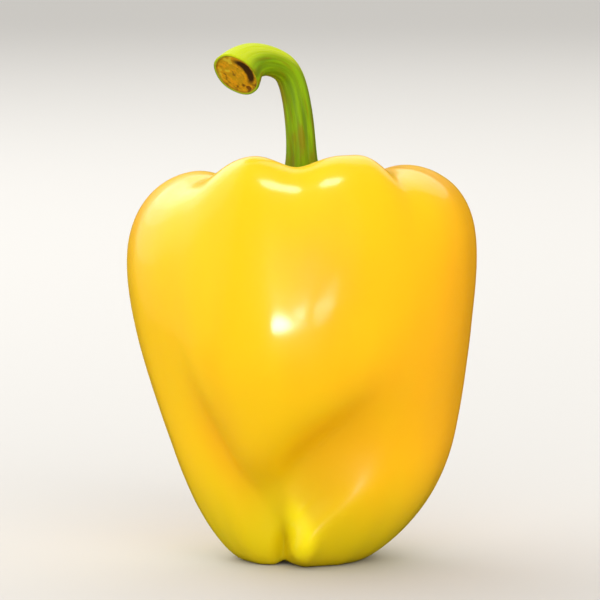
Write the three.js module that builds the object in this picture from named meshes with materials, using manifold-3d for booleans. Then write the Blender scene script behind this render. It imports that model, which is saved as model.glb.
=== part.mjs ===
// A yellow bell pepper standing on its lobe tips, with its green stem.
// Millimetres, +Z up, front lobe towards -Y.
import * as THREE from 'three';
import { mergeVertices } from 'three/addons/utils/BufferGeometryUtils.js';
import Module from 'manifold-3d';

const wasm = await Module();
wasm.setup();

// The fruit has four lobes, each drawn as one outline from the hollow underneath, down to the lobe's foot,
// up its side, over its shoulder and into the pit round the stem. Each control point is
// [distance from axis, height].
const lobes = {
  back: [[0, 9], [4, 9], [7, 3], [12.5, -1.2], [20.5, 3.5], [28.5, 16], [34, 31], [38, 46], [40, 62],
    [41, 77], [37.5, 89.5], [24.5, 93], [13.5, 88.5], [6.5, 84], [0, 84]],
  left: [[0, 9], [4, 9], [7.5, 3.5], [12.5, -1.2], [19.5, 4.2], [26.5, 16.5], [31.5, 31], [36.5, 46],
    [40.3, 61], [41.7, 77], [35.3, 89.5], [22.5, 94.5], [13.5, 89], [6.5, 84], [0, 84]],
  front: [[0, 9], [4, 9], [8, 5], [13, 3], [18.5, 8], [25.5, 18], [32, 31], [38.5, 45], [40, 59],
    [39, 76], [35, 93], [24.5, 101], [12.5, 92.5], [6.5, 84], [0, 84]],
  right: [[0, 9], [4, 9], [7, 3], [12.5, -1.2], [21.2, 3.8], [31.3, 14.8], [36.8, 29], [39.7, 45],
    [41, 62], [42.3, 78.5], [37.5, 90.7], [24, 96], [13.5, 90], [6.5, 84], [0, 84]],
};

// A level counts the outlines' control points, from 0 underneath to 14 in the pit.
const topLevel = 14;

// Angles are in degrees about the axis, from the back (90) by the left (180) and the front (270) round to
// the back again (450). A crease parts two lobes. At each level it has its angle, its depth, how soft its
// bottom is (0 is a knife cut) and how far to either side the next lobe takes over. Its walls reach so many
// degrees out.
const creases = [
  {
    nextLobe: 'left',
    angle: Array(15).fill(138),
    depth: [0, 0.5, 2.5, 4, 5, 4.8, 4.4, 3.8, 3.2, 3.2, 4.6, 5, 2.8, 0.6, 0],
    softness: Array(15).fill(0.2),
    handover: Array(15).fill(30),
    reach: [46, 46],
  },
  {
    nextLobe: 'front',
    angle: [272, 272, 270, 262, 249, 240, 229, 224, 222, 221, 221, 221, 223, 228, 232],
    depth: [0, 0, 0, 0.2, 1.2, 3.2, 3.4, 1.8, 0.7, 0.7, 1.6, 2.4, 1.8, 0.6, 0],
    softness: [0.3, 0.3, 0.3, 0.3, 0.25, 0.16, 0.14, 0.25, 0.4, 0.5, 0.5, 0.5, 0.4, 0.3, 0.3],
    handover: [18, 18, 18, 18, 22, 22, 22, 22, 22, 22, 22, 22, 22, 22, 22],
    reach: [30, 22],
  },
  {
    nextLobe: 'right',
    angle: [249, 249, 249, 252, 257, 277, 304, 310, 313, 315, 318, 319, 318, 315, 312],
    depth: [0, 0.2, 0.4, 1, 4.6, 1.8, 0, 0.2, 0.2, 0.4, 1.4, 2, 1.4, 0.5, 0],
    softness: [0.6, 0.6, 0.5, 0.25, 0.2, 0.4, 0.8, 0.6, 0.5, 0.5, 0.5, 0.5, 0.4, 0.3, 0.3],
    handover: [9, 9, 9, 9, 10, 24, 20, 20, 20, 20, 20, 20, 20, 20, 20],
    reach: [12, 18],
  },
  {
    nextLobe: 'back',
    angle: Array(15).fill(405),
    depth: [0, 0.5, 2.5, 4, 5, 4.8, 4.4, 3.8, 3.2, 3.2, 4.6, 5, 2.8, 0.6, 0],
    softness: Array(15).fill(0.2),
    handover: Array(15).fill(30),
    reach: [46, 46],
  },
];

// Folds in one lobe: a shallow one down the middle of the front, and the soft hollow above the foot of the
// right lobe.
const folds = [
  {
    angle: [268, 268, 268, 268, 268, 268, 268, 270, 270, 270, 268, 268, 268, 268, 268],
    depth: [0, 0, 0, 0, 0, 0, 0, 0.4, 0.6, 0.5, 1.6, 2.8, 2.2, 0.6, 0],
    softness: Array(15).fill(0.7),
    reach: [18, 18],
  },
  {
    angle: [264, 264, 264, 264, 264, 262, 286, 308, 312, 312, 312, 312, 312, 312, 312],
    depth: [0, 0, 0, 0, 1.4, 7.8, 7, 1.6, 0, 0, 0, 0, 0, 0, 0],
    softness: Array(15).fill(0.9),
    reach: [26, 47],
  },
];
const wallCurve = 2.4;

// Swellings: the right lobe's foot comes round to the front and ends in a blunt nub, and the front lobe is
// a little fuller half way up.
const swellings = [
  { angle: 269, level: 4.25, halfAngle: 12, halfLevels: 0.65, height: 3.6 },
  { angle: 264, level: 7.7, halfAngle: 17, halfLevels: 0.8, height: 1.5 },
];

// The stalk: its middle line from the pit over to the cut end, with its radius and the height of its ribs
// as a share of the radius. The calyx has as many teeth as the stalk has ribs.
const stalkLine = [[0.4, 0, 84], [0.4, 0, 88], [0.4, 0, 93], [0.3, 0, 98], [0, 0, 103], [-0.6, 0, 108],
  [-1.6, 0, 113], [-3.4, -1, 117.2], [-8.1, -3.8, 119.2], [-12.6, -7.4, 118.6], [-14.7, -10.4, 116]];
const stalkRadius = [7.2, 5.6, 3.9, 3.45, 3.35, 3.3, 3.2, 3.15, 3.4, 4.8, 6];
const ribHeight = [0.14, 0.16, 0.13, 0.09, 0.07, 0.06, 0.06, 0.06, 0.06, 0.04, 0.02];
const ribCount = 6;
const firstRib = 20;
const ribCurve = 1.6;
const ribMiddle = 0.55;
const bendSide = new THREE.Vector3(0.52, -0.854, 0).normalize();

// The calyx lies in the pit, just clear of the skin, out to these levels of the fruit's outline. Its rim is
// given as share of the way out and height above its underside. Further in it rises to the stalk's foot.
const skinGap = 0.55;
const calyxNotchLevel = 12.42;
const calyxToothLevels = 0.3;
const calyxUnderside = 0.9;
const calyxRim = [[0.985, 0.05], [1, 0.45], [0.985, 0.9]];
const calyxFoot = 0.42;
const calyxRise = 1;
const calyxCurve = 0.8;
const stalkStart = 0.35;
const stalkFoot = 0.9;
const blendStart = 0.35;

// The cut end: share of the end's radius and height along the stalk, over a low lip and down to the pith.
const cutFace = [[0.965, 0.22], [0.915, 0.22], [0.87, 0.02], [0.83, -0.18], [0.7, -0.18], [0.45, -0.1],
  [0.22, -0.14]];
const pithDepth = 0.12;

// Where the axis stands and how far the feet are pressed flat, so that the pepper rests centred on the
// origin.
const seat = new THREE.Vector3(-0.4, -0.3, -0.8);

const fruitGrid = { columns: 72, rows: 48 };
const stemGrid = { columns: 30, under: 5, over: 5, stalk: 26 };

// Smooth curve (cubic B-spline) through its first and last value. Place counts the values from 0.
function spline(values, place) {
  const last = values.length - 1;
  const span = Math.min(Math.floor(place), last - 1);
  const t = place - span;
  const before = span > 0 ? values[span - 1] : 2 * values[0] - values[1];
  const after = span + 2 <= last ? values[span + 2] : 2 * values[last] - values[last - 1];
  return ((1 - t) ** 3 * before
    + (3 * t ** 3 - 6 * t ** 2 + 4) * values[span]
    + (-3 * t ** 3 + 3 * t ** 2 + 3 * t + 1) * values[span + 1]
    + t ** 3 * after) / 6;
}

function splinePoint(points, place) {
  return points[0].map((unused, axis) => spline(points.map((point) => point[axis]), place));
}

// The lobes' outlines blended round the axis, before the creases are pressed in.
function outline(angle, level) {
  const point = new THREE.Vector2(...splinePoint(lobes.back, level));
  for (const crease of creases) {
    const past = angle - spline(crease.angle, level);
    const handover = spline(crease.handover, level);
    const share = THREE.MathUtils.smootherstep(past, -handover, handover);
    point.lerp(new THREE.Vector2(...splinePoint(lobes[crease.nextLobe], level)), share);
  }
  return point;
}

function turnBetween(angle, middle) {
  return THREE.MathUtils.euclideanModulo(angle - middle + 180, 360) - 180;
}

// How deep a crease or fold is at an angle: full at its middle, nothing past its reach.
function grooveDepth(groove, angle, level) {
  const turn = turnBetween(angle, spline(groove.angle, level));
  const softness = spline(groove.softness, level);
  const away = Math.hypot(turn / groove.reach[turn < 0 ? 0 : 1], softness) - softness;
  return spline(groove.depth, level) * THREE.MathUtils.clamp(1 - away, 0, 1) ** wallCurve;
}

function swellingHeight(swelling, angle, level) {
  const across = turnBetween(angle, swelling.angle) / swelling.halfAngle;
  const along = (level - swelling.level) / swelling.halfLevels;
  return swelling.height * Math.exp(-(across ** 2) - along ** 2);
}

// Point on the fruit's skin.
function skinPoint(angle, level) {
  const step = 0.001;
  const along = outline(angle, Math.min(level + step, topLevel));
  along.sub(outline(angle, Math.max(level - step, 0))).normalize();
  let height = 0;
  for (const swelling of swellings) {
    height += swellingHeight(swelling, angle, level);
  }
  for (const groove of [...creases, ...folds]) {
    height -= grooveDepth(groove, angle, level);
  }
  const point = outline(angle, level).addScaledVector(new THREE.Vector2(along.y, -along.x), height);
  const radius = Math.max(point.x, 0);
  const azimuth = THREE.MathUtils.degToRad(angle);
  return new THREE.Vector3(radius * Math.cos(azimuth), radius * Math.sin(azimuth), point.y);
}

// Direction straight out of the skin.
function skinNormal(angle, level) {
  const turn = 0.2;
  const step = 0.01;
  const round = skinPoint(angle + turn, level).sub(skinPoint(angle - turn, level));
  const along = skinPoint(angle, Math.min(level + step, topLevel)).sub(skinPoint(angle, level - step));
  return round.cross(along).normalize();
}

// 0 between two teeth of the calyx, or two ribs of the stalk, and 1 on one.
function onRib(angle) {
  const half = THREE.MathUtils.degToRad((angle - firstRib) * ribCount / 2);
  return Math.abs(Math.cos(half)) ** ribCurve;
}

// Point of the calyx: out is 0 at the middle and 1 at the toothed edge, lift is the height above the skin.
function calyxPoint(angle, out, lift) {
  const edge = calyxNotchLevel - calyxToothLevels * onRib(angle);
  const level = topLevel + (edge - topLevel) * out;
  const normal = skinNormal(angle, Math.min(level, topLevel - 0.1));
  return skinPoint(angle, level).addScaledVector(normal, lift);
}

function stalkMiddle(station) {
  return new THREE.Vector3(...splinePoint(stalkLine, station));
}

function stalkDirection(station) {
  const step = 0.001;
  const end = stalkMiddle(Math.min(station + step, stalkLine.length - 1));
  return end.sub(stalkMiddle(Math.max(station - step, 0))).normalize();
}

// Point on the stalk's ribbed side.
function stalkPoint(angle, station) {
  const direction = stalkDirection(station);
  const side = bendSide.clone().addScaledVector(direction, -bendSide.dot(direction)).normalize();
  const across = direction.clone().cross(side);
  const turn = THREE.MathUtils.degToRad(angle) - Math.atan2(bendSide.y, bendSide.x);
  const radius = spline(stalkRadius, station) * (1 + spline(ribHeight, station) * (onRib(angle) - ribMiddle));
  return stalkMiddle(station)
    .addScaledVector(side, radius * Math.cos(turn))
    .addScaledVector(across, radius * Math.sin(turn));
}

// Rings of the stem from under the calyx out to its edge, back over it, up the stalk and into the cut end.
function stemRings() {
  const { under, over, stalk } = stemGrid;
  const lastStation = stalkLine.length - 1;
  const rings = [];
  for (let i = 1; i <= under; i += 1) {
    const out = calyxUnderside * i / under;
    rings.push((angle) => calyxPoint(angle, out, skinGap));
  }
  for (const [out, lift] of calyxRim) {
    rings.push((angle) => calyxPoint(angle, out, skinGap + lift));
  }
  const [rimOut, rimLift] = calyxRim.at(-1);
  for (let i = 1; i <= over; i += 1) {
    const inward = i / (over + 1);
    const out = THREE.MathUtils.lerp(rimOut, calyxFoot, inward);
    const lift = skinGap + rimLift + calyxRise * inward ** calyxCurve;
    const share = THREE.MathUtils.smoothstep(inward, blendStart, 1);
    const station = THREE.MathUtils.lerp(stalkStart, stalkFoot, inward);
    rings.push((angle) => calyxPoint(angle, out, lift).lerp(stalkPoint(angle, station), share));
  }
  for (let i = 0; i <= stalk; i += 1) {
    const station = THREE.MathUtils.lerp(stalkFoot, lastStation, i / stalk);
    rings.push((angle) => stalkPoint(angle, station));
  }
  const middle = stalkMiddle(lastStation);
  const direction = stalkDirection(lastStation);
  for (const [share, height] of cutFace) {
    const centre = middle.clone().addScaledVector(direction, height);
    rings.push((angle) => stalkPoint(angle, lastStation).sub(middle).multiplyScalar(share).add(centre));
  }
  return rings;
}

// A closed surface on a sphere's grid of columns and rows. place gives the point at an angle and a row.
function gridGeometry(columns, rows, place) {
  const sphere = new THREE.SphereGeometry(1, columns, rows);
  const { position, uv } = sphere.attributes;
  for (let i = 0; i < position.count; i += 1) {
    const angle = 90 + 360 * uv.getX(i);
    const row = Math.round(rows * uv.getY(i));
    const point = place(angle, row);
    position.setXYZ(i, point.x, point.y, point.z);
  }
  sphere.deleteAttribute('normal');
  sphere.deleteAttribute('uv');
  return mergeVertices(sphere);
}

function toSolid(geometry) {
  return new wasm.Manifold(new wasm.Mesh({
    numProp: 3,
    vertProperties: new Float32Array(geometry.attributes.position.array),
    triVerts: new Uint32Array(geometry.index.array),
  }));
}

function toGeometry(solid) {
  const mesh = solid.getMesh();
  const geometry = new THREE.BufferGeometry();
  geometry.setAttribute('position', new THREE.BufferAttribute(mesh.vertProperties, 3));
  geometry.setIndex(new THREE.BufferAttribute(mesh.triVerts, 1));
  return geometry;
}

// The fruit, with the lowest skin of its feet pressed flat.
function makeFruit() {
  const { columns, rows } = fruitGrid;
  const skin = gridGeometry(columns, rows, (angle, row) => skinPoint(angle, topLevel * row / rows));
  const width = 100;
  const depth = 10;
  const ground = new THREE.BoxGeometry(width, width, depth).translate(0, 0, -seat.z - depth / 2);
  ground.deleteAttribute('normal');
  ground.deleteAttribute('uv');
  return toGeometry(toSolid(skin).subtract(toSolid(mergeVertices(ground))));
}

function makeStem() {
  const rings = stemRings();
  const lastStation = stalkLine.length - 1;
  const bottom = skinPoint(90, topLevel).add(new THREE.Vector3(0, 0, skinGap));
  const pith = stalkMiddle(lastStation).addScaledVector(stalkDirection(lastStation), -pithDepth);
  const lastRow = rings.length + 1;
  return gridGeometry(stemGrid.columns, lastRow, (angle, row) => {
    if (row === 0) {
      return bottom;
    }
    return row === lastRow ? pith : rings[row - 1](angle);
  });
}

const waxySkin = new THREE.MeshStandardMaterial({ color: 0xf5b50a, roughness: 0.3, metalness: 0 });
const greenStem = new THREE.MeshStandardMaterial({ color: 0x84962a, roughness: 0.6, metalness: 0 });

const fruit = new THREE.Mesh(makeFruit(), waxySkin);
fruit.name = 'fruit';
const stem = new THREE.Mesh(makeStem(), greenStem);
stem.name = 'stem_and_calyx';

const group = new THREE.Group();
group.add(fruit, stem);
group.position.copy(seat);

export default group;
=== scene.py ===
import math

import bpy
import numpy as np
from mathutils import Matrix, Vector


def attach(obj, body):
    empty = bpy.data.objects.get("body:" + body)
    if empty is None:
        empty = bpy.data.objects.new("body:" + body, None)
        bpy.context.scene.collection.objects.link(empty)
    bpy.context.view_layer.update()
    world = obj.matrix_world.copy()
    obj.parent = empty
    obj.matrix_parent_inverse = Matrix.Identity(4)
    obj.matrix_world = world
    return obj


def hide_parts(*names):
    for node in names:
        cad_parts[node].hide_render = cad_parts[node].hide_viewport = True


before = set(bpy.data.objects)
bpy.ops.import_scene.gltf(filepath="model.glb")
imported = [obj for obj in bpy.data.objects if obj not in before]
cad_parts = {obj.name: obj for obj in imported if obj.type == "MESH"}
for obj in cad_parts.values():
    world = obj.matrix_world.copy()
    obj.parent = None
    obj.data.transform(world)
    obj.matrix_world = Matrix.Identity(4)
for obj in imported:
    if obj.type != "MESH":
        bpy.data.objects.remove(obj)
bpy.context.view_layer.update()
print("frame loaded:", sorted(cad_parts))

millimetre = 0.001
seat = np.array([-0.4, -0.3, -0.8])  # mm, moves the outlines so that the pepper stands centred on the origin

# The viewing angle of the picture: from the front, a little above the middle.
cameraView = {
    "aim": (-0.0004, -0.0003, 0.0612),
    "elevation": 7,
    "distance": 1.0,
    "width": 0.1415,  # how much fits across the picture at the pepper
    "sensor": 36,
}


def addCamera(view):
    tilt = math.radians(view["elevation"])
    x, y, z = view["aim"]
    place = (x, y - view["distance"] * math.cos(tilt), z + view["distance"] * math.sin(tilt))
    bpy.ops.object.camera_add(location=place, rotation=(math.pi / 2 - tilt, 0, 0))
    camera = bpy.context.object
    camera.data.sensor_width = view["sensor"]
    camera.data.lens = view["sensor"] * view["distance"] / view["width"]
    bpy.context.scene.camera = camera


addCamera(cameraView)
print("camera ready")

# Four lobes, each drawn as one outline from the hollow underneath, down to its foot, up its side, over its
# shoulder and into the pit. Points are (distance from the axis, height) in mm.
# Angles run from the back (90) by the left (180) and the front (270) round to the back (450).
fruit = {
    "segments": 168,
    "rings": 112,
    "topLevel": 14,
    "lobes": {
        "back": [(0, 9), (4, 9), (7, 3), (12.5, -1.2), (20.5, 3.5), (28.5, 16), (34, 31), (38, 46), (40, 62),
                 (41, 77), (37.5, 89.5), (24.5, 93), (13.5, 88.5), (6.5, 84), (0, 84)],
        "left": [(0, 9), (4, 9), (7.5, 3.5), (12.5, -1.2), (19.5, 4.2), (26.5, 16.5), (31.5, 31), (36.5, 46),
                 (40.3, 61), (41.7, 77), (35.3, 89.5), (22.5, 94.5), (13.5, 89), (6.5, 84), (0, 84)],
        "front": [(0, 9), (4, 9), (8, 5), (13, 3), (18.5, 8), (25.5, 18), (32, 31), (38.5, 45), (40, 59),
                  (39, 76), (35, 93), (24.5, 101), (12.5, 92.5), (6.5, 84), (0, 84)],
        "right": [(0, 9), (4, 9), (7, 3), (12.5, -1.2), (21.2, 3.8), (31.3, 14.8), (36.8, 29), (39.7, 45),
                  (41, 62), (42.3, 78.5), (37.5, 90.7), (24, 96), (13.5, 90), (6.5, 84), (0, 84)],
    },
    "creases": [
        {"next": "left", "angle": [138] * 15,
         "depth": [0, 0.5, 2.5, 4, 5, 4.8, 4.4, 3.8, 3.2, 3.2, 4.6, 5, 2.8, 0.6, 0],
         "softness": [0.2] * 15, "handover": [30] * 15, "reach": (46, 46)},
        {"next": "front",
         "angle": [272, 272, 270, 262, 249, 240, 229, 224, 222, 221, 221, 221, 223, 228, 232],
         "depth": [0, 0, 0, 0.2, 1.2, 3.2, 3.4, 1.8, 0.7, 0.7, 1.6, 2.4, 1.8, 0.6, 0],
         "softness": [0.3] * 4 + [0.25, 0.16, 0.14, 0.25, 0.4, 0.5, 0.5, 0.5, 0.4, 0.3, 0.3],
         "handover": [18] * 4 + [22] * 11, "reach": (30, 22)},
        {"next": "right",
         "angle": [249, 249, 249, 252, 257, 277, 304, 310, 313, 315, 318, 319, 318, 315, 312],
         "depth": [0, 0.2, 0.4, 1, 4.6, 1.8, 0, 0.2, 0.2, 0.4, 1.4, 2, 1.4, 0.5, 0],
         "softness": [0.6, 0.6, 0.5, 0.25, 0.2, 0.4, 0.8, 0.6] + [0.5] * 4 + [0.4, 0.3, 0.3],
         "handover": [9] * 4 + [10, 24] + [20] * 9, "reach": (12, 18)},
        {"next": "back", "angle": [405] * 15,
         "depth": [0, 0.5, 2.5, 4, 5, 4.8, 4.4, 3.8, 3.2, 3.2, 4.6, 5, 2.8, 0.6, 0],
         "softness": [0.2] * 15, "handover": [30] * 15, "reach": (46, 46)},
    ],
    "folds": [  # down the middle of the front lobe, and the soft hollow above the right lobe's foot
        {"angle": [268] * 7 + [270] * 3 + [268] * 5,
         "depth": [0, 0, 0, 0, 0, 0, 0, 0.4, 0.6, 0.5, 1.6, 2.8, 2.2, 0.6, 0],
         "softness": [0.7] * 15, "reach": (18, 18)},
        {"angle": [264] * 5 + [262, 286, 308] + [312] * 7,
         "depth": [0, 0, 0, 0, 1.4, 7.8, 7, 1.6] + [0] * 7,
         "softness": [0.9] * 15, "reach": (26, 47)},
    ],
    "wallCurve": 2.4,
    "swellings": [  # the right lobe's blunt nub, and the fuller middle of the front lobe
        {"angle": 269, "level": 4.25, "halfAngle": 12, "halfLevels": 0.65, "height": 3.6},
        {"angle": 264, "level": 7.7, "halfAngle": 17, "halfLevels": 0.8, "height": 1.5},
    ],
    "ribs": [(14, 0.07, 0.7), (23, 0.04, 2.1)],  # count round, height in mm, turn
    "wave": {"size": 0.016, "height": 0.00022},  # the slight unevenness that a real skin has
}


def spline(values, place):  # smooth curve through its first and last value
    values = np.asarray(values, float)
    points = np.concatenate([[2 * values[0] - values[1]], values, [2 * values[-1] - values[-2]]])
    span = np.clip(np.floor(place).astype(int), 0, len(values) - 2)
    t = place - span
    if values.ndim > 1:
        t = t[..., None]
    return ((1 - t) ** 3 * points[span] + (3 * t ** 3 - 6 * t ** 2 + 4) * points[span + 1]
            + (-3 * t ** 3 + 3 * t ** 2 + 3 * t + 1) * points[span + 2] + t ** 3 * points[span + 3]) / 6


def smoothStep(value, low, high):
    share = np.clip((value - low) / (high - low), 0, 1)
    return share ** 2 * (3 - 2 * share)


def smootherStep(value, low, high):
    share = np.clip((value - low) / (high - low), 0, 1)
    return share ** 3 * (share * (6 * share - 15) + 10)


def outline(angle, level):
    point = spline(fruit["lobes"]["back"], level)
    for crease in fruit["creases"]:
        handover = spline(crease["handover"], level)
        share = smootherStep(angle - spline(crease["angle"], level), -handover, handover)[..., None]
        point = point * (1 - share) + spline(fruit["lobes"][crease["next"]], level) * share
    return point


def turnBetween(angle, middle):
    return (angle - middle + 180) % 360 - 180


def grooveDepth(groove, angle, level):
    turn = turnBetween(angle, spline(groove["angle"], level))
    softness = spline(groove["softness"], level)
    away = np.hypot(turn / np.where(turn < 0, *groove["reach"]), softness) - softness
    return spline(groove["depth"], level) * np.clip(1 - away, 0, 1) ** fruit["wallCurve"]


def swellingHeight(swelling, angle, level):
    across = turnBetween(angle, swelling["angle"]) / swelling["halfAngle"]
    along = (level - swelling["level"]) / swelling["halfLevels"]
    return swelling["height"] * np.exp(-across ** 2 - along ** 2)


def skinPoint(angle, level):
    step = 0.001  # levels, small enough to give the direction along the outline
    top = fruit["topLevel"]
    along = outline(angle, np.minimum(level + step, top)) - outline(angle, np.maximum(level - step, 0))
    along /= np.linalg.norm(along, axis=-1, keepdims=True)
    height = sum(swellingHeight(swelling, angle, level) for swelling in fruit["swellings"])
    for count, rise, turn in fruit["ribs"]:
        height = height + rise * np.cos(count * np.radians(angle) + turn) * np.sin(math.pi * level / top)
    height = height - sum(grooveDepth(groove, angle, level) for groove in fruit["creases"] + fruit["folds"])
    point = outline(angle, level) + height[..., None] * np.stack([along[..., 1], -along[..., 0]], -1)
    turn = np.radians(angle)
    radius = np.maximum(point[..., 0], 0)
    return np.stack([radius * np.cos(turn), radius * np.sin(turn), point[..., 1]], -1)


def skinNormal(angle, level):
    turn = 0.2
    step = 0.01
    top = fruit["topLevel"]
    across = skinPoint(angle + turn, level) - skinPoint(angle - turn, level)
    along = skinPoint(angle, np.minimum(level + step, top)) - skinPoint(angle, level - step)
    normal = np.cross(across, along)
    return normal / np.linalg.norm(normal, axis=-1, keepdims=True)


def addSphere(name, segments, rings):
    bpy.ops.object.select_all(action="DESELECT")
    bpy.ops.mesh.primitive_uv_sphere_add(segments=segments, ring_count=rings, radius=1)
    piece = bpy.context.object
    piece.name = name
    piece.data.name = name
    return piece


def readPoints(piece):
    points = np.empty(len(piece.data.vertices) * 3)
    piece.data.vertices.foreach_get("co", points)
    return points.reshape(-1, 3)


def writePoints(piece, points):
    piece.data.vertices.foreach_set("co", points.ravel())
    piece.data.update()


def sphereGrid(piece):  # each vertex's angle, and its share of the way from the lower pole to the upper one
    points = readPoints(piece)
    angle = (np.degrees(np.arctan2(points[:, 1], points[:, 0])) - 90) % 360 + 90
    share = np.arccos(np.clip(-points[:, 2], -1, 1)) / math.pi
    return angle, share


def addAttribute(piece, name, values):
    kind = "FLOAT" if values.ndim == 1 else "FLOAT_VECTOR"
    field = "value" if values.ndim == 1 else "vector"
    piece.data.attributes.new(name, kind, "POINT").data.foreach_set(field, values.ravel())


def applyModifier(piece, kind, **settings):
    bpy.context.view_layer.objects.active = piece
    bpy.ops.object.modifier_add(type=kind)
    modifier = piece.modifiers[-1]
    for setting, value in settings.items():
        setattr(modifier, setting, value)
    bpy.ops.object.modifier_apply(modifier=modifier.name)


def applyUnevenness(piece, name, size, height):
    texture = bpy.data.textures.new(name, "CLOUDS")
    texture.noise_scale = size
    applyModifier(piece, "DISPLACE", texture=texture, strength=height, texture_coords="LOCAL")


def addFruit():
    piece = addSphere("pepperFruit", fruit["segments"], fruit["rings"])
    angle, share = sphereGrid(piece)
    level = share * fruit["topLevel"]
    writePoints(piece, (skinPoint(angle, level) + seat) * millimetre)
    grooves = sum(grooveDepth(groove, angle, level) for groove in fruit["creases"])
    addAttribute(piece, "crease", grooves)
    addAttribute(piece, "hollow", grooveDepth(fruit["folds"][1], angle, level))
    addAttribute(piece, "nub", swellingHeight(fruit["swellings"][0], angle, level))
    addAttribute(piece, "height", share)
    applyModifier(piece, "SUBSURF", levels=1, render_levels=1, use_limit_surface=False)
    applyUnevenness(piece, "skinWave", fruit["wave"]["size"], fruit["wave"]["height"])
    points = readPoints(piece)
    points[:, 2] = np.maximum(points[:, 2], 0)  # the feet are pressed flat
    writePoints(piece, points)
    bpy.ops.object.shade_smooth()
    return piece


pepperFruit = addFruit()
print("fruit modelled:", len(pepperFruit.data.polygons), "faces")

# The stalk's middle line in mm, from the pit over to the cut end, with its radius and its ribs' height as a
# share of the radius. The calyx has as many teeth as the stalk has ribs.
stem = {
    "segments": 132,
    "line": [(0.4, 0, 84), (0.4, 0, 88), (0.4, 0, 93), (0.3, 0, 98), (0, 0, 103), (-0.6, 0, 108),
             (-1.6, 0, 113), (-3.4, -1, 117.2), (-8.1, -3.8, 119.2), (-12.6, -7.4, 118.6),
             (-14.7, -10.4, 116)],
    "radius": [7.2, 5.6, 3.9, 3.45, 3.35, 3.3, 3.2, 3.15, 3.4, 4.8, 6],
    "ribHeight": [0.14, 0.16, 0.13, 0.09, 0.07, 0.06, 0.06, 0.06, 0.06, 0.04, 0.02],
    "ribCount": 6,
    "firstRib": 20,
    "ribCurve": 1.6,
    "ribMiddle": 0.55,
    "bendSide": (0.52, -0.854, 0),
    "fineRibs": [(17, 0.025, 1.3), (29, 0.018, -0.9), (41, 0.01, 1.9)],  # count round, height in mm, twist
    "skinGap": 0.55,  # mm between the calyx and the skin
    "poleLevels": 0.1,  # the skin's direction isn't read nearer to the pit's middle than this
    "notchLevel": 12.42,
    "toothLevels": 0.3,
    "rim": [(0.985, 0.05), (0.997, 0.25), (1, 0.45), (0.997, 0.7), (0.985, 0.9)],
    "under": 9,
    "underside": 0.9,
    "over": 12,
    "foot": 0.42,
    "rise": 1,
    "riseCurve": 0.8,
    "stalkStart": 0.35,
    "stalkFoot": 0.9,
    "blendStart": 0.35,
    "wrinkles": [(23, 0.09), (37, 0.06)],  # count round and height in mm, on the calyx
    "stalkRings": 54,
    "fineRibsBegin": (0, 0.15),  # shares of the stalk's length
    "fineRibsEnd": (0.9, 1),
    "cut": [(0.985, 0.14), (0.965, 0.22), (0.94, 0.25), (0.915, 0.22), (0.89, 0.14), (0.87, 0.02),
            (0.85, -0.1), (0.83, -0.18), (0.79, -0.22), (0.73, -0.2), (0.66, -0.15), (0.56, -0.1),
            (0.46, -0.1), (0.35, -0.13), (0.24, -0.15), (0.12, -0.14)],  # share of the radius, height in mm
    "pithDepth": 0.12,
    # at one side the pith has shrunk away from the rim
    "gap": {"angle": 304, "width": 68, "depth": 0.3, "share": 0.6, "reach": 0.17},
}


def onRib(angle):
    half = np.radians(angle - stem["firstRib"]) * stem["ribCount"] / 2
    return np.abs(np.cos(half)) ** stem["ribCurve"]


def calyxPoint(angle, out, lift):
    top = fruit["topLevel"]
    edge = stem["notchLevel"] - stem["toothLevels"] * onRib(angle)
    level = top + (edge - top) * out
    normal = skinNormal(angle, np.minimum(level, top - stem["poleLevels"]))
    return skinPoint(angle, level) + lift * normal


def stalkMiddle(station):
    return spline(stem["line"], np.array(float(station)))


def stalkDirection(station):
    step = 0.001
    last = len(stem["line"]) - 1
    along = stalkMiddle(min(station + step, last)) - stalkMiddle(max(station - step, 0))
    return along / np.linalg.norm(along)


def stalkPoint(angle, station, fine=0.0):
    direction = stalkDirection(station)
    bend = np.array(stem["bendSide"]) / np.linalg.norm(stem["bendSide"])
    side = bend - direction * (bend @ direction)
    side /= np.linalg.norm(side)
    across = np.cross(direction, side)
    place = np.array(float(station))
    ribs = spline(stem["ribHeight"], place) * (onRib(angle) - stem["ribMiddle"])
    radius = spline(stem["radius"], place) * (1 + ribs)
    for count, height, twist in stem["fineRibs"]:
        radius = radius + fine * height * np.cos(count * np.radians(angle) + twist * station)
    turn = (np.radians(angle) - math.atan2(bend[1], bend[0]))[:, None]
    return stalkMiddle(station) + radius[:, None] * (np.cos(turn) * side + np.sin(turn) * across)


def gapStrength(angle, share):
    gap = stem["gap"]
    across = turnBetween(angle, gap["angle"]) / gap["width"]
    return np.exp(-across ** 2 - ((share - gap["share"]) / gap["reach"]) ** 2)


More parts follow.
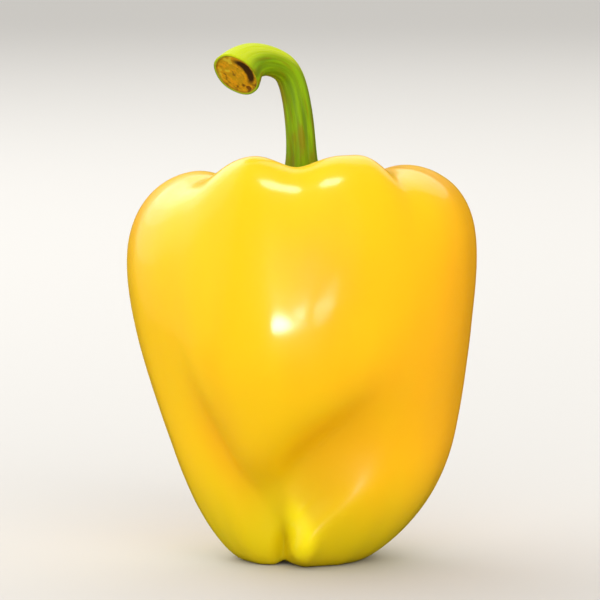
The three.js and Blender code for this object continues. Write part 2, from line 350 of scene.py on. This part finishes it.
# Every ring of the stem from under the calyx out to its rim, back over it, up the stalk and into the cut end.
# Each gives its points, how far along the stalk it lies and how far into the cut face.
def stemRings(angle):
    last = len(stem["line"]) - 1
    rings = []
    for i in range(1, stem["under"] + 1):
        rings.append((calyxPoint(angle, stem["underside"] * i / stem["under"], stem["skinGap"]), 0, 0))
    for out, lift in stem["rim"]:
        rings.append((calyxPoint(angle, out, stem["skinGap"] + lift), 0, 0))
    rimOut, rimLift = stem["rim"][-1]
    for i in range(1, stem["over"] + 1):
        inward = i / (stem["over"] + 1)
        out = rimOut + (stem["foot"] - rimOut) * inward
        lift = stem["skinGap"] + rimLift + stem["rise"] * inward ** stem["riseCurve"]
        wrinkle = sum(height * np.cos(count * np.radians(angle)) for count, height in stem["wrinkles"])
        lift = lift + wrinkle * math.sin(math.pi * inward)
        share = smoothStep(inward, stem["blendStart"], 1)
        station = stem["stalkStart"] + (stem["stalkFoot"] - stem["stalkStart"]) * inward
        points = calyxPoint(angle, out, lift[:, None]) * (1 - share) + stalkPoint(angle, station) * share
        rings.append((points, station * inward, 0))
    for i in range(stem["stalkRings"] + 1):
        share = i / stem["stalkRings"]
        station = stem["stalkFoot"] + (last - stem["stalkFoot"]) * share
        fine = smoothStep(share, *stem["fineRibsBegin"]) * (1 - smoothStep(share, *stem["fineRibsEnd"]))
        rings.append((stalkPoint(angle, station, fine), station, 0))
    end = stalkPoint(angle, last)
    middle = stalkMiddle(last)
    for share, height in stem["cut"]:
        sunk = height - stem["gap"]["depth"] * gapStrength(angle, share)
        points = middle + (end - middle) * share + np.outer(sunk, stalkDirection(last))
        rings.append((points, last, 1 - share))
    return rings


def facingUp(points, along):  # 1 on the stalk's upper side and 0 on its lower one
    smallest = 0.1  # mm, keeps the middle of the cut face from dividing by nothing
    outward = points - spline(stem["line"], along)
    return 0.5 + 0.5 * outward[:, 2] / np.maximum(np.linalg.norm(outward, axis=-1), smallest)


def addStem():
    columns = stem["segments"]
    angle = 90 + 360 * np.arange(columns) / columns
    rings = stemRings(angle)
    last = len(stem["line"]) - 1
    piece = addSphere("pepperStem", columns, len(rings) + 1)
    vertexAngle, share = sphereGrid(piece)
    column = np.rint((vertexAngle - 90) * columns / 360).astype(int) % columns
    row = np.rint(share * (len(rings) + 1)).astype(int)
    inner = np.clip(row - 1, 0, len(rings) - 1)
    grid = np.stack([points for points, along, cut in rings])
    points = grid[inner, column]
    pitMiddle = skinPoint(np.array([90.0]), np.array([float(fruit["topLevel"])]))[0]
    points[row == 0] = pitMiddle + [0, 0, stem["skinGap"]]
    points[row > len(rings)] = stalkMiddle(last) - stalkDirection(last) * stem["pithDepth"]
    writePoints(piece, (points + seat) * millimetre)
    along = np.array([along for points, along, cut in rings], float)[inner]
    cut = np.array([cut for points, along, cut in rings], float)[inner]
    cut[row > len(rings)] = 1
    turn = np.radians(vertexAngle)
    straight = np.stack([np.cos(turn), np.sin(turn), along], -1)
    addAttribute(piece, "along", along)
    addAttribute(piece, "cutShare", cut)
    addAttribute(piece, "upward", facingUp(points, along))
    addAttribute(piece, "gapShare", gapStrength(vertexAngle, 1 - cut))
    addAttribute(piece, "onRib", onRib(vertexAngle))
    addAttribute(piece, "straightStalk", straight)
    applyModifier(piece, "SUBSURF", levels=1, render_levels=1, use_limit_surface=False)
    bpy.ops.object.shade_smooth()
    return piece


pepperStem = addStem()
print("stem modelled:", len(pepperStem.data.polygons), "faces")


def newMaterial(name):
    material = bpy.data.materials.new(name)
    material.use_nodes = True
    tree = material.node_tree
    return material, tree, tree.nodes["Principled BSDF"]


def addNode(tree, kind, inputs=None, **settings):
    node = tree.nodes.new(kind)
    for setting, value in settings.items():
        setattr(node, setting, value)
    for socket, value in (inputs or {}).items():
        if isinstance(value, bpy.types.NodeSocket):
            tree.links.new(value, node.inputs[socket])
        else:
            node.inputs[socket].default_value = value
    return node


def readAttribute(tree, name, output="Fac"):
    return addNode(tree, "ShaderNodeAttribute", attribute_name=name).outputs[output]


def addNoise(tree, vector, noise):
    placed = addNode(tree, "ShaderNodeMapping", {"Vector": vector, "Scale": noise["stretch"]})
    inputs = {"Vector": placed.outputs[0], "Scale": noise["scale"], "Detail": noise["detail"]}
    return addNode(tree, "ShaderNodeTexNoise", inputs).outputs["Fac"]


def mapRange(tree, value, low, high, newLow=0.0, newHigh=1.0):
    inputs = {"Value": value, "From Min": low, "From Max": high, "To Min": newLow, "To Max": newHigh}
    return addNode(tree, "ShaderNodeMapRange", inputs, interpolation_type="SMOOTHSTEP").outputs["Result"]


def multiply(tree, first, second):
    return addNode(tree, "ShaderNodeMath", {0: first, 1: second}, operation="MULTIPLY").outputs[0]


def mixColors(tree, share, first, second):
    node = addNode(tree, "ShaderNodeMix", data_type="RGBA")
    for socket, value in (("Factor_Float", share), ("A_Color", first), ("B_Color", second)):
        target = next(s for s in node.inputs if s.identifier == socket)
        if isinstance(value, bpy.types.NodeSocket):
            tree.links.new(value, target)
        else:
            target.default_value = (*value, 1)
    return next(s for s in node.outputs if s.identifier == "Result_Color")


def addBump(tree, shader, height, distance):
    bump = addNode(tree, "ShaderNodeBump", {"Height": height, "Distance": distance, "Strength": 1})
    tree.links.new(bump.outputs[0], shader.inputs["Normal"])


# Noises give their scale, detail, stretch and where needed the range that is mapped. A range is (from, to) or
# (from, to, share at from, share at to).
skin = {
    "golden": (0.94, 0.56, 0.001),
    "deeper": (0.95, 0.44, 0.001),
    "paler": (0.94, 0.61, 0.002),
    "shaded": (0.84, 0.43, 0.001),
    "greenishShade": (0.7, 0.57, 0.001),
    "litLemon": (0.97, 0.8, 0.002),
    "patches": {"scale": 26, "detail": 2, "stretch": (1, 1, 0.45), "range": (0.42, 0.72)},
    "palePatches": {"scale": 52, "detail": 3, "stretch": (1, 1, 0.3), "range": (0.5, 0.8, 0, 0.5)},
    "ripeAndShadeSide": (0.008, 0.042),  # metres to the right of the axis, over which the right side turns deeper in colour: partly ripeness, partly painted shade
    "ripeAndShadeTop": (0.6, 0.76, 1, 0.1),  # share of the way up the outline, over which the deeper right side and the painted crease shade fade out
    "creaseShadeRange": (1, 3.5, 0, 0.6),  # mm of depth, and how much of the deeper colour it gets as painted shade in the creases
    "hollowShadeRange": (1.5, 6, 0, 0.85),  # mm of depth, over which the hollow gets darker as painted shade
    "lowShadeRange": (0.28, 0.44, 0.85, 0),  # share of the way up the outline; painted shade, darker and greener towards the bottom
    "nubLightRange": (0.8, 3, 0, 0.75),  # mm of height, over which the nub gets a paler colour as painted light
    "speckle": {"scale": 700, "detail": 2, "stretch": (1, 1, 1)},
    "roughness": (0.3, 0.7, 0.4, 0.46),
    "gloss": 0.15,
    "coat": 0.5,
    "coatRoughness": 0.14,
    "underSkin": 0.1,
    "underSkinDepth": 0.003,
    "underSkinReach": (1, 0.5, 0.08),
    "poreHeight": 0.00002,
}


def waxySkin():
    material, tree, shader = newMaterial("waxySkin")
    place = addNode(tree, "ShaderNodeTexCoord").outputs["Object"]
    patches = mapRange(tree, addNoise(tree, place, skin["patches"]), *skin["patches"]["range"])
    color = mixColors(tree, patches, skin["golden"], skin["deeper"])
    pale = mapRange(tree, addNoise(tree, place, skin["palePatches"]), *skin["palePatches"]["range"])
    color = mixColors(tree, pale, color, skin["paler"])
    # the right side turns deeper in colour, partly ripeness and partly painted shade, fading out near the top
    across = addNode(tree, "ShaderNodeSeparateXYZ", {"Vector": place}).outputs["X"]
    below = mapRange(tree, readAttribute(tree, "height"), *skin["ripeAndShadeTop"])
    ripeAndShade = multiply(tree, mapRange(tree, across, *skin["ripeAndShadeSide"]), below)
    color = mixColors(tree, ripeAndShade, color, skin["deeper"])
    # painted shade: the creases get the deeper colour
    creaseShade = multiply(tree, mapRange(tree, readAttribute(tree, "crease"), *skin["creaseShadeRange"]), below)
    color = mixColors(tree, creaseShade, color, skin["deeper"])
    # painted shade: the hollow above the right lobe's foot gets a darker colour
    hollowShade = mapRange(tree, readAttribute(tree, "hollow"), *skin["hollowShadeRange"])
    color = mixColors(tree, hollowShade, color, skin["shaded"])
    # painted shade: darker and greener towards the bottom
    low = mapRange(tree, readAttribute(tree, "height"), *skin["lowShadeRange"])
    color = mixColors(tree, low, color, skin["greenishShade"])
    # painted light: the nub gets a paler lemon colour
    nubLight = mapRange(tree, readAttribute(tree, "nub"), *skin["nubLightRange"])
    color = mixColors(tree, nubLight, color, skin["litLemon"])
    tree.links.new(color, shader.inputs["Base Color"])
    speckle = addNoise(tree, place, skin["speckle"])
    tree.links.new(mapRange(tree, speckle, *skin["roughness"]), shader.inputs["Roughness"])
    addBump(tree, shader, speckle, skin["poreHeight"])
    shader.inputs["Specular IOR Level"].default_value = skin["gloss"]
    shader.inputs["Coat Weight"].default_value = skin["coat"]
    shader.inputs["Coat Roughness"].default_value = skin["coatRoughness"]
    shader.inputs["Subsurface Weight"].default_value = skin["underSkin"]
    shader.inputs["Subsurface Radius"].default_value = skin["underSkinReach"]
    shader.inputs["Subsurface Scale"].default_value = skin["underSkinDepth"]
    return material


stalk = {
    "topLight": (0.54, 0.62, 0.004),
    "lime": (0.22, 0.39, 0.001),
    "olive": (0.13, 0.24, 0.001),
    "brown": (0.23, 0.17, 0.001),
    "dark": (0.08, 0.13, 0.001),
    "streaks": {"scale": 2.6, "detail": 4, "stretch": (1, 1, 0.12), "range": (0.35, 0.65)},
    "stains": {"scale": 1.82, "detail": 3, "stretch": (1, 1, 0.25), "range": (0.45, 0.65, 0, 0.75)},
    "valleyShadeRange": (0, 0.5, 0.35, 0),  # 0 between two ribs and 1 on a rib; the valleys get darker as painted shade
    "footRange": (1.5, 4, 0.4, 0),  # points of the stem's line, from its foot
    "topLightRange": (0.55, 0.9, 0, 0.9),  # 1 where it faces up; the upper side gets a paler lime as painted light
    "grain": {"scale": 13, "detail": 4, "stretch": (1, 1, 0.1)},
    "grainHeight": 0.0001,
    "roughness": 0.5,
    "gloss": 0.1,
}


def ribbedStalk():
    material, tree, shader = newMaterial("ribbedStalk")
    straight = readAttribute(tree, "straightStalk", "Vector")
    streaks = mapRange(tree, addNoise(tree, straight, stalk["streaks"]), *stalk["streaks"]["range"])
    color = mixColors(tree, streaks, stalk["olive"], stalk["lime"])
    stains = mapRange(tree, addNoise(tree, straight, stalk["stains"]), *stalk["stains"]["range"])
    color = mixColors(tree, stains, color, stalk["brown"])
    # painted shade: darker green in the valleys between the ribs
    valleyShade = mapRange(tree, readAttribute(tree, "onRib"), *stalk["valleyShadeRange"])
    color = mixColors(tree, valleyShade, color, stalk["dark"])
    foot = mapRange(tree, readAttribute(tree, "along"), *stalk["footRange"])
    color = mixColors(tree, foot, color, stalk["dark"])
    # painted light: paler lime on the stalk's upper side
    topLightShare = mapRange(tree, readAttribute(tree, "upward"), *stalk["topLightRange"])
    color = mixColors(tree, topLightShare, color, stalk["topLight"])
    tree.links.new(color, shader.inputs["Base Color"])
    shader.inputs["Roughness"].default_value = stalk["roughness"]
    shader.inputs["Specular IOR Level"].default_value = stalk["gloss"]
    addBump(tree, shader, addNoise(tree, straight, stalk["grain"]), stalk["grainHeight"])
    return material


cork = {
    "rim": (0.28, 0.4, 0.012),
    "ring": (0.16, 0.065, 0.002),
    # painted shadow: near-black in the gap where the pith has shrunk from the rim
    "gap": (0.04, 0.016, 0.001),
    "ochre": (0.42, 0.25, 0.003),
    "orange": (0.6, 0.29, 0.003),
    "pale": (0.56, 0.43, 0.02),
    "grain": {"scale": 900, "detail": 4, "stretch": (1, 1, 1), "range": (0.4, 0.62)},
    "blotches": {"scale": 450, "detail": 2, "stretch": (1, 1, 1)},
    "paleRange": (0.55, 0.68),
    "darkRange": (0.42, 0.3),
    "ringRange": (0.2, 0.12, 0, 0.6),  # share of the way in from the rim
    "gapShadowRange": (0.15, 0.6),
    "rimRange": (0.13, 0.08),  # share of the way in from the rim
    "begins": 0.05,  # the same share, where the stalk's skin ends
    "grainHeight": 0.0003,
    "roughness": 0.8,
    "gloss": 0.1,
}


def corkyCut():
    material, tree, shader = newMaterial("corkyCut")
    place = addNode(tree, "ShaderNodeTexCoord").outputs["Object"]
    grain = addNoise(tree, place, cork["grain"])
    color = mixColors(tree, mapRange(tree, grain, *cork["grain"]["range"]), cork["ochre"], cork["orange"])
    blotches = addNoise(tree, place, cork["blotches"])
    color = mixColors(tree, mapRange(tree, blotches, *cork["paleRange"]), color, cork["pale"])
    color = mixColors(tree, mapRange(tree, blotches, *cork["darkRange"]), color, cork["ring"])
    inward = readAttribute(tree, "cutShare")
    color = mixColors(tree, mapRange(tree, inward, *cork["ringRange"]), color, cork["ring"])
    # painted shadow: near-black in the gap where the pith has shrunk from the rim
    gapShadow = mapRange(tree, readAttribute(tree, "gapShare"), *cork["gapShadowRange"])
    color = mixColors(tree, gapShadow, color, cork["gap"])
    color = mixColors(tree, mapRange(tree, inward, *cork["rimRange"]), color, cork["rim"])
    tree.links.new(color, shader.inputs["Base Color"])
    shader.inputs["Roughness"].default_value = cork["roughness"]
    shader.inputs["Specular IOR Level"].default_value = cork["gloss"]
    addBump(tree, shader, grain, cork["grainHeight"])
    return material


def dressPieces():
    pepperFruit.data.materials.append(waxySkin())
    for material in (ribbedStalk(), corkyCut()):
        pepperStem.data.materials.append(material)
    cutShare = np.empty(len(pepperStem.data.vertices))
    pepperStem.data.attributes["cutShare"].data.foreach_get("value", cutShare)
    for face in pepperStem.data.polygons:
        face.material_index = int(min(cutShare[list(face.vertices)]) > cork["begins"])


dressPieces()
print("materials ready")

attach(pepperFruit, "root")
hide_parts("fruit")
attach(pepperStem, "root")
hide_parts("stem_and_calyx")

studio = {
    "floorSize": 30,
    "floorDrop": 0.0001,
    "floorColor": (0.56, 0.55, 0.53),
    "floorRoughness": 0.8,
    "world": (1, 0.98, 0.95),
    "worldLight": 0.84,
    "sun": {"from": (0.2, -0.85, 0.45), "angle": 60, "strength": 1.55},
    "glints": [  # width and height in metres; they show only as highlights
        {"name": "frontGlint", "place": (-0.13, -1.3, 0.115), "size": (0.4, 0.16), "power": 8, "spread": 180},
        {"name": "sideGlint", "place": (0.38, -1.24, 0.135), "size": (0.4, 0.12), "power": 1.3,
         "spread": 180},
        {"name": "topGlint", "place": (0.05, -0.35, 1), "size": (0.36, 0.22), "power": 3.4, "spread": 180},
    ],
    "windows": [  # the first three lie in one another, so that the broad sheen on the left fades out softly
        {"name": "wideWindow", "place": (-1.2, 0.25, 0.6), "size": (3.2, 2.6), "power": 4.6, "spread": 110},
        {"name": "middleWindow", "place": (-1, 0.6, 0.7), "size": (2.2, 1.6), "power": 2.8, "spread": 110},
        {"name": "innerWindow", "place": (-0.8, 0.85, 0.8), "size": (1.2, 0.9), "power": 1.2, "spread": 110},
        {"name": "backWindow", "place": (0, 1.5, 1.45), "size": (3.6, 1.9), "power": 12, "spread": 120},
    ],
}


def addFloor():
    bpy.ops.mesh.primitive_plane_add(size=studio["floorSize"], location=(0, 0, -studio["floorDrop"]))
    floor = bpy.context.object
    floor.name = "paleFloor"
    material, _, shader = newMaterial("paleFloor")
    shader.inputs["Base Color"].default_value = (*studio["floorColor"], 1)
    shader.inputs["Roughness"].default_value = studio["floorRoughness"]
    shader.inputs["Specular IOR Level"].default_value = 0
    floor.data.materials.append(material)
    floor.visible_glossy = False


def addLamps():
    sun = studio["sun"]
    bpy.ops.object.light_add(type="SUN", rotation=Vector(sun["from"]).to_track_quat("Z", "Y").to_euler())
    bpy.context.object.name = "softSun"
    bpy.context.object.data.angle = math.radians(sun["angle"])
    bpy.context.object.data.energy = sun["strength"]
    bpy.context.object.visible_glossy = False
    aim = Vector(cameraView["aim"])
    for lamp in studio["glints"] + studio["windows"]:
        place = Vector(lamp["place"])
        turn = (aim - place).to_track_quat("-Z", "Y").to_euler()
        bpy.ops.object.light_add(type="AREA", location=place, rotation=turn)
        light = bpy.context.object
        light.name = lamp["name"]
        light.data.shape = "ELLIPSE"
        light.data.size, light.data.size_y = lamp["size"]
        light.data.energy = lamp["power"]
        light.data.spread = math.radians(lamp["spread"])
        light.visible_camera = False
        light.visible_diffuse = lamp in studio["windows"]


def addWorld():
    world = bpy.data.worlds.new("studio")
    world.use_nodes = True
    background = world.node_tree.nodes["Background"]
    background.inputs["Color"].default_value = (*studio["world"], 1)
    background.inputs["Strength"].default_value = studio["worldLight"]
    world.cycles_visibility.glossy = False
    bpy.context.scene.world = world
    bpy.context.scene.view_settings.view_transform = "Standard"


addFloor()
addLamps()
addWorld()
print("studio ready")
